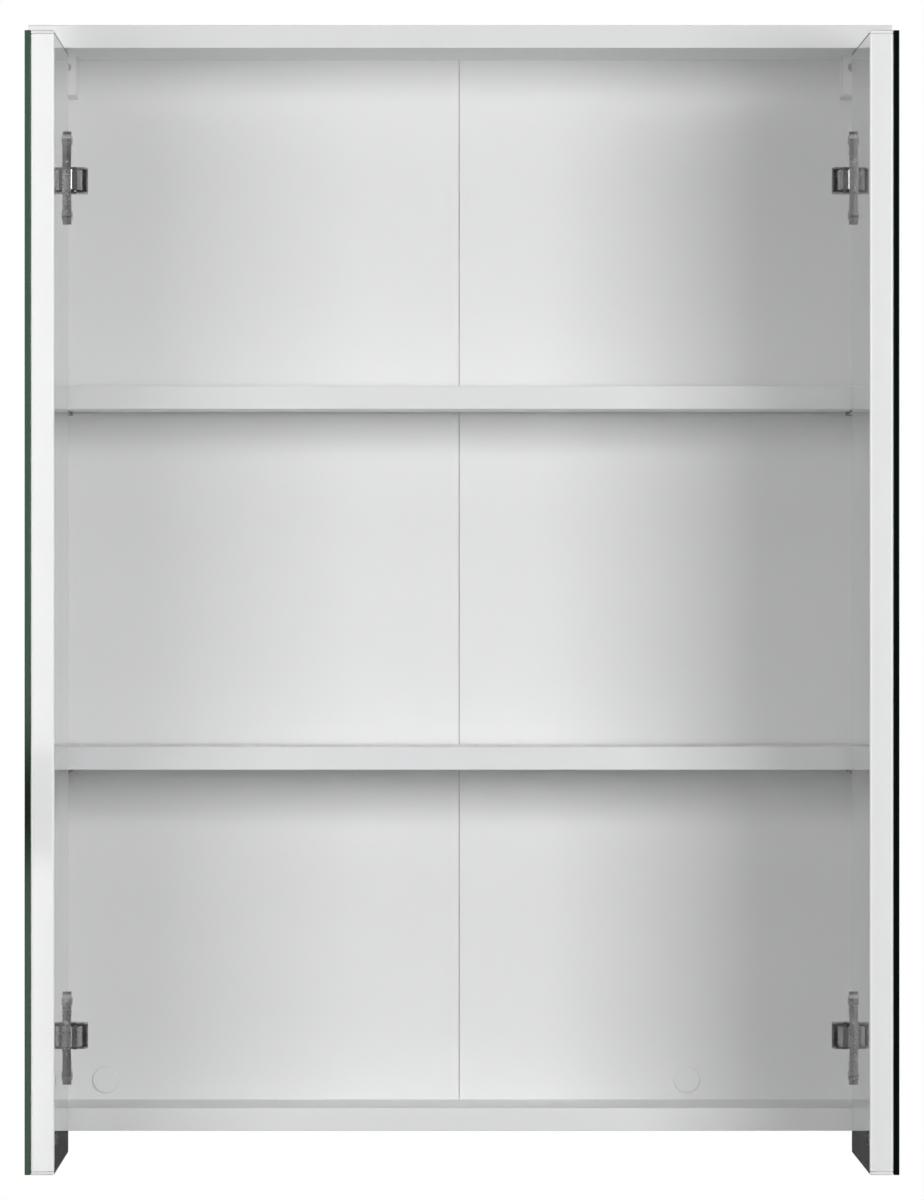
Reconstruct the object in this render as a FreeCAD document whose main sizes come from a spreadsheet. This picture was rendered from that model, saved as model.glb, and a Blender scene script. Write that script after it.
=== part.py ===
import FreeCAD, Part
import Sketcher
import math
import os
import re

Vector = FreeCAD.Vector
doc = FreeCAD.newDocument("medicine_cabinet")

# Driving dimensions in millimetres. +Z is up, the wall is the plane y = 0, the front looks along -Y,
# x = 0 is the middle and z = 0 the underside of the carcass. A hinge is placed by two local measures:
# "in" runs from the carcass's outer side face towards its middle, "out" runs forward from the front edges.
SIZES = {
    "carcass_width": 600, "carcass_height": 770, "side_depth": 140, "top_depth": 180,
    "panel": 16, "band": 1, "band_round": 0.6,
    "back_sheet": 3, "back_inset": 8, "back_groove": 6, "back_seam": 0.4,
    "tape_width": 40, "tape_sheet": 0.25,
    "lower_compartment": 236, "upper_compartment": 234,
    "shelf_side_gap": 1, "shelf_front_gap": 3, "shelf_back_gap": 2,
    "shelf_pin_radius": 1.5, "shelf_pin_buried": 8, "shelf_pin_reach": 10.5, "shelf_pin_inset": 32,
    "dowel_radius": 4, "dowel_length": 30, "dowel_shallow": 10, "dowel_inset": 34,
    "cam_radius": 7.5, "cam_depth": 12.5, "cam_distance": 24, "cam_inset": 52,
    "cam_bolt_radius": 3.5, "cam_bolt_screwed": 11, "cam_cover_radius": 9, "cam_cover_sheet": 1.2,
    "door_side_inset": 1, "door_middle_gap": 3, "door_face_gap": 2.4, "door_top_gap": 1, "door_drop": 15,
    "door_panel": 16, "mirror_glass": 4, "door_band": 1.5, "door_end_band": 2.5, "door_band_round": 1.3,
    "door_open_face": 26.6, "door_open_edge": 3,
    "hinge_low": 66, "hinge_high_drop": 90,
    "cup_radius": 17.5, "cup_depth": 12, "cup_wall": 0.8, "cup_rim": 4,
    "flange_sheet": 1, "flange_tab": 3, "flange_length": 65, "flange_width": 17, "flange_fence": 20,
    "cup_screw_spacing": 52, "cup_screw_offset": 5.5,
    "cup_screw_head": 4, "cup_screw_rise": 0.8, "cup_screw_length": 11, "cup_screw_core": 1.75,
    "link_in": 30.67, "link_out": -12.68, "cup_pin_from_edge": 10, "cup_pin_below_face": 2.8,
    "hinge_pin_radius": 1.25, "pin_clearance": 0.05, "link_sheet": 2, "link_width": 14, "link_eye": 2.6,
    "arm_width": 18.4, "arm_sheet": 1.3, "arm_nose_rise": 8.9, "arm_pin_stub": 0.4,
    "plate_sheet": 3, "plate_body": 20, "plate_front": -24, "plate_length": 42, "plate_wing": 50,
    "plate_wing_width": 11, "plate_wing_out": -37, "plate_ridge": 9, "plate_ridge_rise": 4,
    "plate_screw_spacing": 32, "plate_screw_head": 3.5, "plate_screw_core": 1.8, "plate_screw_length": 12,
    "hanger_width": 13.9, "hanger_height": 28, "hanger_depth": 58.5, "hanger_nose": 16, "hanger_wall": 1.4,
    "hanger_toe": 1,
    "hook_width": 6, "hook_sheet": 2.5, "hook_lip": 12, "hook_wall_gap": 1.5,
    "hanger_screw_radius": 3, "hanger_screw_length": 22, "hanger_screw_head": 3,
    "cap_radius": 9.5, "cap_rise": 1.8, "cap_stem": 6, "cap_height": 30,
    "cap_left_in": 49, "cap_right_in": 138.5,
    "bumper_radius": 4, "bumper_rise": 1.9, "bumper_inset": 12,
}

sheet = doc.addObject("Spreadsheet::Sheet", "dims")
for row, (alias, value) in enumerate(SIZES.items(), start=1):
    sheet.set(f"A{row}", alias)
    sheet.set(f"B{row}", str(value))
    sheet.setAlias(f"B{row}", alias)
doc.recompute()


class Sizes:
    """The sheet's cells as plain numbers, for the places of pieces."""

    def __getattr__(self, alias):
        return float(sheet.get(alias))


size = Sizes()
nodes = {}

HALF = size.carcass_width / 2
LID = size.carcass_height - size.panel  # underside of the top panel
FRONT = -size.side_depth  # front edges of the carcass
BACK_FACE = -(size.back_inset + size.back_sheet)  # front face of the back panel
DOOR_BASE = -size.door_drop
DOOR_TOP = LID - size.door_top_gap
DOOR_WIDTH = HALF - size.door_side_inset - size.door_middle_gap / 2
SIDES = {"left": -1, "right": 1}
LEVELS = {"lower": size.hinge_low, "upper": LID - size.hinge_high_drop}


def bind(piece, **expressions):
    """Binds each named property to an expression in the sheet's aliases, written without the sheet's name."""
    for prop, words in expressions.items():
        text = re.sub(r"\w+", lambda word: "dims." + word[0] if word[0] in SIZES else word[0], words)
        piece.setExpression(prop.replace("_", "."), text)
    return piece


def place(piece, x, y, z, axis=Vector(0, 0, 1)):
    """Puts a piece at a point with its own Z along axis."""
    piece.Placement = FreeCAD.Placement(Vector(x, y, z), FreeCAD.Rotation(Vector(0, 0, 1), axis))
    return piece


def box(name, corner, length, width, height):
    """A box from its lowest corner; its three sizes are expressions."""
    return bind(place(doc.addObject("Part::Box", name), *corner), Length=length, Width=width, Height=height)


def cylinder(name, start, axis, radius, height):
    return bind(place(doc.addObject("Part::Cylinder", name), *start, axis), Radius=radius, Height=height)


def cone(name, start, axis, radius1, radius2, height):
    return bind(place(doc.addObject("Part::Cone", name), *start, axis), Radius1=radius1, Radius2=radius2,
                Height=height)


def fuse(name, pieces):
    joined = doc.addObject("Part::MultiFuse", name)
    joined.Shapes = pieces
    joined.Refine = True
    return joined


def cut(name, base, tools):
    """base less tools, which are joined first when there are several."""
    carved = doc.addObject("Part::Cut", name)
    carved.Base = base
    carved.Tool = tools[0] if len(tools) == 1 else fuse(name + "_tools", tools)
    return carved


def together(name, pieces):
    """Separate like solids that share one node."""
    bundle = doc.addObject("Part::Compound", name)
    bundle.Links = pieces
    return bundle


def node(name, piece):
    piece.Label = name
    nodes[name] = piece
    return piece


def rounded(name, base, radius, chosen):
    """Rounds the base's edges for which chosen(edge) holds."""
    doc.recompute()
    smooth = doc.addObject("Part::Fillet", name)
    smooth.Base = base
    smooth.Edges = [(i, radius, radius) for i, edge in enumerate(base.Shape.Edges, start=1) if chosen(edge)]
    return smooth


def along(edge, axis):
    """Whether a straight edge runs along the unit vector axis."""
    first, last = edge.Vertexes[0].Point, edge.Vertexes[-1].Point
    return (last - first).Length > 0.01 and abs((last - first).normalize() * axis) > 0.999


def plane_of(body, role):
    return next(item for item in body.Origin.OriginFeatures if item.Role == role)


def sketch_on(body, name, role):
    sketch = body.newObject("Sketcher::SketchObject", name)
    sketch.AttachmentSupport = [(plane_of(body, role), "")]
    sketch.MapMode = "FlatFace"
    return sketch


def closed_outline(sketch, points):
    """A closed polygon through points, its corners tied together and each held where it is given."""
    count = len(points)
    for i in range(count):
        start, end = points[i], points[(i + 1) % count]
        sketch.addGeometry(Part.LineSegment(Vector(*start, 0), Vector(*end, 0)), False)
    for i in range(count):
        sketch.addConstraint(Sketcher.Constraint("Coincident", i, 2, (i + 1) % count, 1))
    for i in range(count):
        sketch.addConstraint(Sketcher.Constraint("Block", i))


def rectangle(sketch, width, depth):
    """A rectangle from the sketch's origin; width and depth are expressions that drive its two lengths."""
    corners = [(0, 0), (10, 0), (10, 10), (0, 10)]
    for i in range(4):
        sketch.addGeometry(Part.LineSegment(Vector(*corners[i], 0), Vector(*corners[(i + 1) % 4], 0)), False)
    for i in range(4):
        sketch.addConstraint(Sketcher.Constraint("Coincident", i, 2, (i + 1) % 4, 1))
    for i, kind in enumerate(("Horizontal", "Vertical", "Horizontal", "Vertical")):
        sketch.addConstraint(Sketcher.Constraint(kind, i))
    sketch.addConstraint(Sketcher.Constraint("Coincident", 0, 1, -1, 1))
    across = sketch.addConstraint(Sketcher.Constraint("Distance", 0, 10.0))
    upward = sketch.addConstraint(Sketcher.Constraint("Distance", 1, 10.0))
    sketch.renameConstraint(across, "across")
    sketch.renameConstraint(upward, "upward")
    bind(sketch, Constraints_across=width, Constraints_upward=depth)


def board(name, corner, length, width, height):
    """A board as a pad of a rectangle: length along X, width along Y, height along Z."""
    body = doc.addObject("PartDesign::Body", name)
    sketch = sketch_on(body, name + "_outline", "XY_Plane")
    rectangle(sketch, length, width)
    pad = body.newObject("PartDesign::Pad", name + "_pad")
    pad.Profile = sketch
    bind(pad, Length=height)
    place(body, *corner)
    return body


def inward(side):
    """Unit vector from a side panel towards the middle of the cabinet."""
    return Vector(-SIDES[side], 0, 0)


def local_x(side, measure):
    """x of a point that lies measure in from the outer face of a side."""
    return SIDES[side] * (HALF - measure)


def low_x(side, start, end):
    """The lower x of a stretch from start to end, both measured in from the outer face of a side."""
    return min(local_x(side, start), local_x(side, end))


def local_y(measure):
    """y of a point that lies measure out from the carcass's front edges."""
    return FRONT - measure


CAP_X = {"left": local_x("left", size.cap_left_in), "right": local_x("right", size.cap_right_in)}

# ---- carcass boards: 16 mm melamine-faced board, banded along the front -------------------------------

DOWEL_Y = [-size.dowel_inset, FRONT + size.dowel_inset]
CAM_Y = FRONT + size.cam_inset
BURIED = size.dowel_length - size.dowel_shallow
UP, DOWN = Vector(0, 0, 1), Vector(0, 0, -1)
FORWARD, REARWARD = Vector(0, -1, 0), Vector(0, 1, 0)
PIN_Y = [-size.shelf_pin_inset, FRONT + size.shelf_pin_inset]
SHELVES = {"lower": size.panel + size.lower_compartment, "upper": LID - size.upper_compartment - size.panel}
SCREW_HOLE_Z = [level + step for level in LEVELS.values()
                for step in (-size.plate_screw_spacing / 2, size.plate_screw_spacing / 2)]
PLATE_SCREW_Y = local_y(size.plate_wing_out)
HOOK_IN = size.panel + size.hanger_width / 2


def top_joint_cutters(side, name):
    """Dowel and cam-bolt holes shared by a side panel's upper end and the top panel."""
    middle = local_x(side, size.panel / 2)
    tools = [cylinder(f"{name}_dowel_{i}", (middle, y, LID - BURIED), UP, "dowel_radius", "dowel_length")
             for i, y in enumerate(DOWEL_Y)]
    tools.append(cylinder(f"{name}_bolt", (middle, CAM_Y, LID - size.cam_distance), UP, "cam_bolt_radius",
                          "cam_distance + cam_bolt_screwed"))
    return tools


def bottom_joint_cutters(side, name):
    """Dowel and cam-bolt holes shared by a side panel's lower end and the bottom panel."""
    height = size.panel / 2
    tools = [cylinder(f"{name}_dowel_{i}", (local_x(side, size.panel - size.dowel_shallow), y, height),
                      inward(side), "dowel_radius", "dowel_length") for i, y in enumerate(DOWEL_Y)]
    tools.append(cylinder(f"{name}_bolt", (local_x(side, size.panel - size.cam_bolt_screwed), CAM_Y, height),
                          inward(side), "cam_bolt_radius", "cam_distance + cam_bolt_screwed"))
    return tools


def make_side_panel(side):
    name = f"side_panel_{side}"
    base = board(name + "_board", (low_x(side, 0, size.panel), FRONT + size.band, 0),
                 "panel", "side_depth - band", "carcass_height - panel")
    tools = top_joint_cutters(side, name + "_top") + bottom_joint_cutters(side, name + "_bottom")
    tools.append(cylinder(name + "_cam", (local_x(side, size.panel), CAM_Y, LID - size.cam_distance),
                          -inward(side), "cam_radius", "cam_depth"))
    tools.append(box(name + "_groove", (low_x(side, size.panel - size.back_groove, size.panel), BACK_FACE, 0),
                     "back_groove", "back_sheet", "carcass_height - panel"))
    for shelf, base_z in SHELVES.items():
        for i, y in enumerate(PIN_Y):
            tools.append(cylinder(f"{name}_{shelf}_pin_{i}",
                                  (local_x(side, size.panel - size.shelf_pin_buried), y,
                                   base_z - size.shelf_pin_radius),
                                  inward(side), "shelf_pin_radius", "shelf_pin_buried"))
    for i, z in enumerate(SCREW_HOLE_Z):
        tools.append(cylinder(f"{name}_screw_{i}", (local_x(side, size.panel), PLATE_SCREW_Y, z),
                              -inward(side), "plate_screw_core", "plate_screw_length"))
    return node(name, cut(name, base, tools))


def make_top_panel():
    name = "top_panel"
    base = board(name + "_board", (-HALF + size.band, -size.top_depth + size.band, LID),
                 "carcass_width - 2 * band", "top_depth - band", "panel")
    tools = [tool for side in SIDES for tool in top_joint_cutters(side, f"{name}_{side}")]
    tools.append(box(name + "_groove", (-HALF + size.panel - size.back_groove, BACK_FACE, LID),
                     "carcass_width - 2 * panel + 2 * back_groove", "back_sheet", "back_groove"))
    return node(name, cut(name, base, tools))


def make_bottom_panel():
    name = "bottom_panel"
    base = board(name + "_board", (-HALF + size.panel, FRONT + size.band, 0),
                 "carcass_width - 2 * panel", "side_depth - band", "panel")
    tools = [tool for side in SIDES for tool in bottom_joint_cutters(side, f"{name}_{side}")]
    for side in SIDES:
        tools.append(cylinder(f"{name}_{side}_cam", (local_x(side, size.panel + size.cam_distance), CAM_Y, 0),
                              UP, "cam_radius", "cam_depth"))
    tools.append(box(name + "_groove", (-HALF + size.panel, BACK_FACE, size.panel - size.back_groove),
                     "carcass_width - 2 * panel", "back_sheet", "back_groove"))
    return node(name, cut(name, base, tools))


def make_shelf(level):
    name = f"shelf_{level}"
    return node(name, board(name, (-HALF + size.panel + size.shelf_side_gap,
                                   FRONT + size.shelf_front_gap + size.band, SHELVES[level]),
                            "carcass_width - 2 * panel - 2 * shelf_side_gap",
                            "side_depth - back_inset - back_sheet - shelf_front_gap - shelf_back_gap - band",
                            "panel"))


def band(name, corner, length, width, height, run, outer):
    """An edge band with its two outer long edges rounded; run is its direction, outer the way it faces."""
    strip = box(name + "_strip", corner, length, width, height)
    doc.recompute()
    reach = max(vertex.Point * outer for vertex in strip.Shape.Vertexes)
    return rounded(name, strip, size.band_round,
                   lambda edge: along(edge, run) and edge.Vertexes[0].Point * outer > reach - 0.01)


def make_carcass_bands():
    across, upright = Vector(1, 0, 0), Vector(0, 0, 1)
    node("top_panel_bands", together("top_panel_bands", [
        band("top_front_band", (-HALF, -size.top_depth, LID), "carcass_width", "band", "panel", across,
             FORWARD),
        band("top_left_band", (-HALF, -size.top_depth + size.band, LID), "band", "top_depth - band", "panel",
             REARWARD, Vector(-1, 0, 0)),
        band("top_right_band", (HALF - size.band, -size.top_depth + size.band, LID), "band",
             "top_depth - band", "panel", REARWARD, Vector(1, 0, 0)),
    ]))
    node("side_panel_bands", together("side_panel_bands", [
        band(f"side_{side}_band", (low_x(side, 0, size.panel), FRONT, 0), "panel", "band",
             "carcass_height - panel", upright, FORWARD) for side in SIDES]))
    node("bottom_panel_band", band("bottom_panel_band", (-HALF + size.panel, FRONT, 0),
                                   "carcass_width - 2 * panel", "band", "panel", across, FORWARD))
    node("shelf_bands", together("shelf_bands", [
        band(f"shelf_{level}_band",
             (-HALF + size.panel + size.shelf_side_gap, FRONT + size.shelf_front_gap, z),
             "carcass_width - 2 * panel - 2 * shelf_side_gap", "band", "panel", across, FORWARD)
        for level, z in SHELVES.items()]))


def make_shelf_pins(level):
    """Metal pins with a collar that stops them at the side panel."""
    pins = []
    for side in SIDES:
        for i, y in enumerate(PIN_Y):
            z = SHELVES[level] - size.shelf_pin_radius
            pins.append(cylinder(f"shelf_pin_{level}_{side}_{i}",
                                 (local_x(side, size.panel - size.shelf_pin_buried), y, z), inward(side),
                                 "shelf_pin_radius", "shelf_pin_buried + shelf_pin_reach"))
    return node(f"shelf_pins_{level}", together(f"shelf_pins_{level}", pins))


def make_joint_fittings():
    dowels, locks, bolts, covers = [], [], [], []
    cam_z = LID - size.cam_distance
    for side in SIDES:
        into = inward(side)
        for i, y in enumerate(DOWEL_Y):
            dowels.append(cylinder(f"dowel_top_{side}_{i}", (local_x(side, size.panel / 2), y, LID - BURIED),
                                   UP, "dowel_radius", "dowel_length"))
            dowels.append(cylinder(f"dowel_bottom_{side}_{i}",
                                   (local_x(side, size.panel - size.dowel_shallow), y, size.panel / 2),
                                   into, "dowel_radius", "dowel_length"))
        top_bolt = (local_x(side, size.panel / 2), CAM_Y, cam_z)
        low_bolt = (local_x(side, size.panel - size.cam_bolt_screwed), CAM_Y, size.panel / 2)
        bolt_run = "cam_distance + cam_bolt_screwed - cam_radius"
        bolts.append(cylinder(f"cam_bolt_top_{side}", (top_bolt[0], CAM_Y, cam_z + size.cam_radius), UP,
                              "cam_bolt_radius", bolt_run))
        bolts.append(cylinder(f"cam_bolt_bottom_{side}", low_bolt, into, "cam_bolt_radius", bolt_run))
        high = (local_x(side, size.panel), CAM_Y, cam_z)
        low = (local_x(side, size.panel + size.cam_distance), CAM_Y, 0)
        for place_name, start, axis, out in (("top", high, -into, into), ("bottom", low, UP, DOWN)):
            drum = cylinder(f"cam_drum_{place_name}_{side}", start, axis, "cam_radius", "cam_depth")
            slot = box(f"cam_slot_{place_name}_{side}", (-0.8, -4, -0.01), "1.6", "8", "2.5")
            slot.Placement = drum.Placement * slot.Placement
            locks.append(cut(f"cam_lock_{place_name}_{side}", drum, [slot]))
            covers.append(cylinder(f"cam_cover_{place_name}_{side}", start, out, "cam_cover_radius",
                                   "cam_cover_sheet"))
    node("dowels", together("dowels", dowels))
    node("cam_locks", together("cam_locks", locks))
    node("cam_bolts", together("cam_bolts", bolts))
    node("cam_covers", together("cam_covers", covers))


def make_back():
    """A thin sheet in two halves, set in grooves, with a tape over the seam behind."""
    grooved_base = size.panel - size.back_groove
    height = "carcass_height - 2 * panel + 2 * back_groove"
    half = "carcass_width / 2 - panel + back_groove - back_seam / 2"
    starts = {"left": -HALF + size.panel - size.back_groove, "right": size.back_seam / 2}
    for side in SIDES:
        name = f"back_panel_{side}"
        panel = board(name + "_sheet", (starts[side], BACK_FACE, grooved_base), half, "back_sheet", height)
        hook = box(name + "_hook_slot",
                   (low_x(side, size.panel + size.hanger_wall,
                          size.panel + size.hanger_width - size.hanger_wall),
                    BACK_FACE - 1, LID - size.hanger_nose + size.hanger_wall),
                   "hanger_width - 2 * hanger_wall", "back_sheet + 2", "hanger_nose - 2 * hanger_wall")
        corner = box(name + "_foot", (low_x(side, size.panel - size.back_groove, size.panel), BACK_FACE - 1,
                                      grooved_base), "back_groove", "back_sheet + 2", "back_groove")
        hole = cylinder(name + "_cap_hole", (CAP_X[side], BACK_FACE - 1, size.cap_height), REARWARD,
                        "cap_stem", "back_sheet + 2")
        node(name, cut(name, panel, [hook, corner, hole]))
    node("back_tape", box("back_tape", (-size.tape_width / 2, -size.back_inset, size.panel), "tape_width",
                          "tape_sheet", "carcass_height - 2 * panel"))


def make_back_caps():
    caps = []
    for name, x in CAP_X.items():
        disc = cylinder(f"cap_disc_{name}", (x, BACK_FACE, size.cap_height), FORWARD, "cap_radius",
                        "cap_rise")
        stem = cylinder(f"cap_stem_{name}", (x, BACK_FACE, size.cap_height), REARWARD, "cap_stem",
                        "back_sheet + 1")
        body = fuse(f"cap_body_{name}", [disc, stem])
        doc.recompute()
        caps.append(rounded(f"cap_{name}", body, size.cap_rise * 0.6,
                            lambda edge: edge.BoundBox.YMax < BACK_FACE - size.cap_rise + 0.01))
    node("back_cover_caps", together("back_cover_caps", caps))


# ---- hangers: a plastic housing with a steel hook that reaches a rail on the wall ----------------------

def make_hanger(side):
    name = f"hanger_housing_{side}"
    body = doc.addObject("PartDesign::Body", name + "_shell")
    sketch = sketch_on(body, name + "_profile", "YZ_Plane")
    rear, nose = BACK_FACE, BACK_FACE - size.hanger_depth
    foot = LID - size.hanger_height
    closed_outline(sketch, [(rear, LID), (nose, LID), (nose, foot + size.hanger_toe),
                            (nose + size.hanger_toe, foot), (rear, foot)])
    pad = body.newObject("PartDesign::Pad", name + "_pad")
    pad.Profile = sketch
    bind(pad, Length="hanger_width")
    place(body, low_x(side, size.panel, size.panel + size.hanger_width), 0, 0)
    room = box(name + "_room", (low_x(side, size.panel + size.hanger_wall,
                                      size.panel + size.hanger_width - size.hanger_wall),
                                nose + size.hanger_wall, LID - size.hanger_nose + size.hanger_wall),
               "hanger_width - 2 * hanger_wall", "hanger_depth - hanger_wall + 1",
               "hanger_nose - 2 * hanger_wall")
    port = cylinder(name + "_port", (local_x(side, HOOK_IN), nose - 1, LID - size.hanger_nose / 2), REARWARD,
                    "hanger_screw_radius + 0.3", "hanger_wall + 2")
    node(name, cut(name, body, [room, port]))

    hook_name = f"hanger_hook_{side}"
    shank_base = LID - size.hanger_nose + size.hanger_wall + 1
    x = low_x(side, HOOK_IN - size.hook_width / 2, HOOK_IN + size.hook_width / 2)
    shank_start = nose + size.hanger_wall + size.hanger_screw_length
    shank = box(hook_name + "_shank", (x, shank_start, shank_base), "hook_width",
                "back_inset + back_sheet + hanger_depth - hanger_wall - hanger_screw_length - hook_wall_gap",
                "hook_sheet")
    lip = box(hook_name + "_lip", (x, -size.hook_wall_gap - size.hook_sheet, shank_base - size.hook_lip),
              "hook_width", "hook_sheet", "hook_lip")
    nut = box(hook_name + "_nut", (x, shank_start, shank_base), "hook_width", "hook_sheet",
              "hanger_nose - 2 * hanger_wall - 2")
    node(hook_name, fuse(hook_name, [shank, lip, nut]))

    screw_name = f"hanger_screw_{side}"
    axis_z = LID - size.hanger_nose / 2
    head = cylinder(screw_name + "_head", (local_x(side, HOOK_IN), nose + 0.2, axis_z), REARWARD,
                    "hanger_screw_radius", "hanger_screw_head")
    core = cylinder(screw_name + "_core", (local_x(side, HOOK_IN), nose + size.hanger_screw_head, axis_z),
                    REARWARD, "hanger_screw_radius / 2",
                    "hanger_wall + hanger_screw_length - hanger_screw_head")
    cross = [box(f"{screw_name}_cross_{i}", (local_x(side, HOOK_IN) - w / 2, nose, axis_z - h / 2),
                 f"{w}", "1.7", f"{h}") for i, (w, h) in enumerate(((0.9, 4), (4, 0.9)))]
    node(screw_name, cut(screw_name, fuse(screw_name + "_blank", [head, core]), cross))


# ---- hinges: plate and arm on the side panel, a link, and a cup in the door -----------------------------

CUP_OUT = size.door_open_edge + size.cup_rim + size.cup_radius  # cup's centre, out from the front edges
CUP_PIN = (size.door_open_face - size.cup_pin_below_face, size.door_open_edge + size.cup_pin_from_edge)
ARM_PIN = (size.link_in, size.link_out)
PLATE_TOP = size.panel + size.plate_sheet
ARM_INNER = PLATE_TOP + size.plate_ridge_rise  # underside of the arm's web


def make_plate(side, level):
    name = f"hinge_plate_{level}_{side}"
    z = LEVELS[level]
    body = box(name + "_body", (low_x(side, size.panel, PLATE_TOP),
                                local_y(size.plate_front), z - size.plate_body / 2),
               "plate_sheet", "plate_length", "plate_body")
    wing = box(name + "_wing", (low_x(side, size.panel, PLATE_TOP),
                                local_y(size.plate_wing_out) - size.plate_wing_width / 2,
                                z - size.plate_wing / 2), "plate_sheet", "plate_wing_width", "plate_wing")
    doc.recompute()
    tips = rounded(name + "_wing_round", wing, size.plate_wing_width * 0.45,
                   lambda edge: along(edge, Vector(1, 0, 0)))
    ridge = box(name + "_ridge", (low_x(side, PLATE_TOP, ARM_INNER), local_y(size.plate_front) + 2,
                                  z - size.plate_ridge / 2), "plate_ridge_rise", "plate_length - 4",
                "plate_ridge")
    holes = [cylinder(f"{name}_hole_{i}", (local_x(side, size.panel - 1), PLATE_SCREW_Y,
                                           z + step * size.plate_screw_spacing / 2),
                      inward(side), "plate_screw_core", "plate_sheet + 2") for i, step in enumerate((-1, 1))]
    return node(name, cut(name, fuse(name + "_blank", [body, tips, ridge]), holes))


def countersunk(name, start, axis, head, rise, core, length):
    """A screw whose domed head stands rise above the start point and whose core goes the other way."""
    dome = cone(name + "_dome", start, axis, head, head + " * 0.62", rise)
    shank = cylinder(name + "_shank", start, -axis, core, length)
    blank = fuse(name + "_blank", [dome, shank])
    slots = []
    for i, (w, d) in enumerate(((0.9, 3.6), (3.6, 0.9))):
        slot = box(f"{name}_slot_{i}", (-w / 2, -d / 2, 0.6), f"{w}", f"{d}", "6")
        slot.Placement = dome.Placement * slot.Placement
        slots.append(slot)
    return cut(name, blank, slots)


def make_plate_screws(side):
    screws = []
    for i, z in enumerate(SCREW_HOLE_Z):
        start = (local_x(side, PLATE_TOP), PLATE_SCREW_Y, z)
        screws.append(countersunk(f"plate_screw_{side}_{i}", start, inward(side), "plate_screw_head", "1.8",
                                  "plate_screw_core", "plate_screw_length + plate_sheet"))
    return node(f"hinge_plate_screws_{side}", together(f"hinge_plate_screws_{side}", screws))


def upright_plate(side, outline, base, height):
    """A plate standing across Z whose outline is given as (in, out) points."""
    points = [Vector(local_x(side, a), local_y(b), base) for a, b in outline]
    face = Part.Face(Part.makePolygon(points + [points[0]]))
    return face.extrude(Vector(0, 0, height))


def upright_pin(side, at, base, height, radius):
    return Part.makeCylinder(radius, height, Vector(local_x(side, at[0]), local_y(at[1]), base))


def shape_node(name, shape):
    """A node whose shape comes from Part's own functions: bent or pressed sheet metal."""
    piece = doc.addObject("Part::Feature", name)
    piece.Shape = shape
    return node(name, piece)


def make_arm(side, level):
    """A pressed channel over the plate's ridge; its two cheeks widen in front to hold the link's pin."""
    z, half = LEVELS[level], size.arm_width / 2
    rear = size.plate_front - size.plate_length - 4
    web_top = ARM_INNER + size.arm_sheet
    pin_in, pin_out = ARM_PIN
    shoulder = size.plate_front
    nose = pin_in + size.arm_nose_rise
    nose_under, nose_end = nose - size.arm_sheet, pin_out - 7
    web = [(ARM_INNER, rear), (web_top, rear), (web_top, shoulder - 10), (nose, nose_end - 4),
           (nose, nose_end), (nose_under, nose_end), (nose_under, nose_end - 4), (ARM_INNER, shoulder - 10)]
    cheek = [(PLATE_TOP + 0.4, rear), (web_top, rear), (web_top, shoulder - 10), (nose, nose_end - 4),
             (nose, nose_end), (pin_in + 6.5, pin_out + 3.5), (pin_in + 2, pin_out + 5.6),
             (pin_in - 3.5, pin_out + 4.6), (pin_in - 6.5, pin_out - 2), (pin_in - 8, pin_out - 9),
             (PLATE_TOP + 0.4, shoulder - 4)]
    shape = upright_plate(side, web, z - half, size.arm_width)
    for base in (z - half, z + half - size.arm_sheet):
        shape = shape.fuse(upright_plate(side, cheek, base, size.arm_sheet))
    shape = shape.removeSplitter()
    bore = upright_pin(side, ARM_PIN, z - half - 1, size.arm_width + 2, size.hinge_pin_radius)
    return shape_node(f"hinge_arm_{level}_{side}", shape.cut(bore))


def make_arm_screws(side):
    """Two adjusting screws on each arm's web."""
    screws = []
    for level, z in LEVELS.items():
        for i, out in enumerate((size.plate_front - 14, size.plate_front - 34)):
            start = (local_x(side, ARM_INNER + size.arm_sheet), local_y(out), z)
            name = f"arm_screw_{side}_{level}_{i}"
            head = cylinder(name + "_head", start, inward(side), "plate_screw_head", "1.6")
            slots = []
            for k, (w, d) in enumerate(((0.9, 4), (4, 0.9))):
                slot = box(f"{name}_slot_{k}", (-w / 2, -d / 2, 0.6), f"{w}", f"{d}", "3")
                slot.Placement = head.Placement * slot.Placement
                slots.append(slot)
            screws.append(cut(name, head, slots))
    return node(f"hinge_arm_screws_{side}", together(f"hinge_arm_screws_{side}", screws))


def make_arm_pins(side):
    pins = [cylinder(f"arm_pin_{side}_{level}", (local_x(side, ARM_PIN[0]), local_y(ARM_PIN[1]),
                                                 z - size.arm_width / 2 - size.arm_pin_stub), UP,
                     "hinge_pin_radius", "arm_width + 2 * arm_pin_stub") for level, z in LEVELS.items()]
    return node(f"hinge_arm_pins_{side}", together(f"hinge_arm_pins_{side}", pins))


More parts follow.
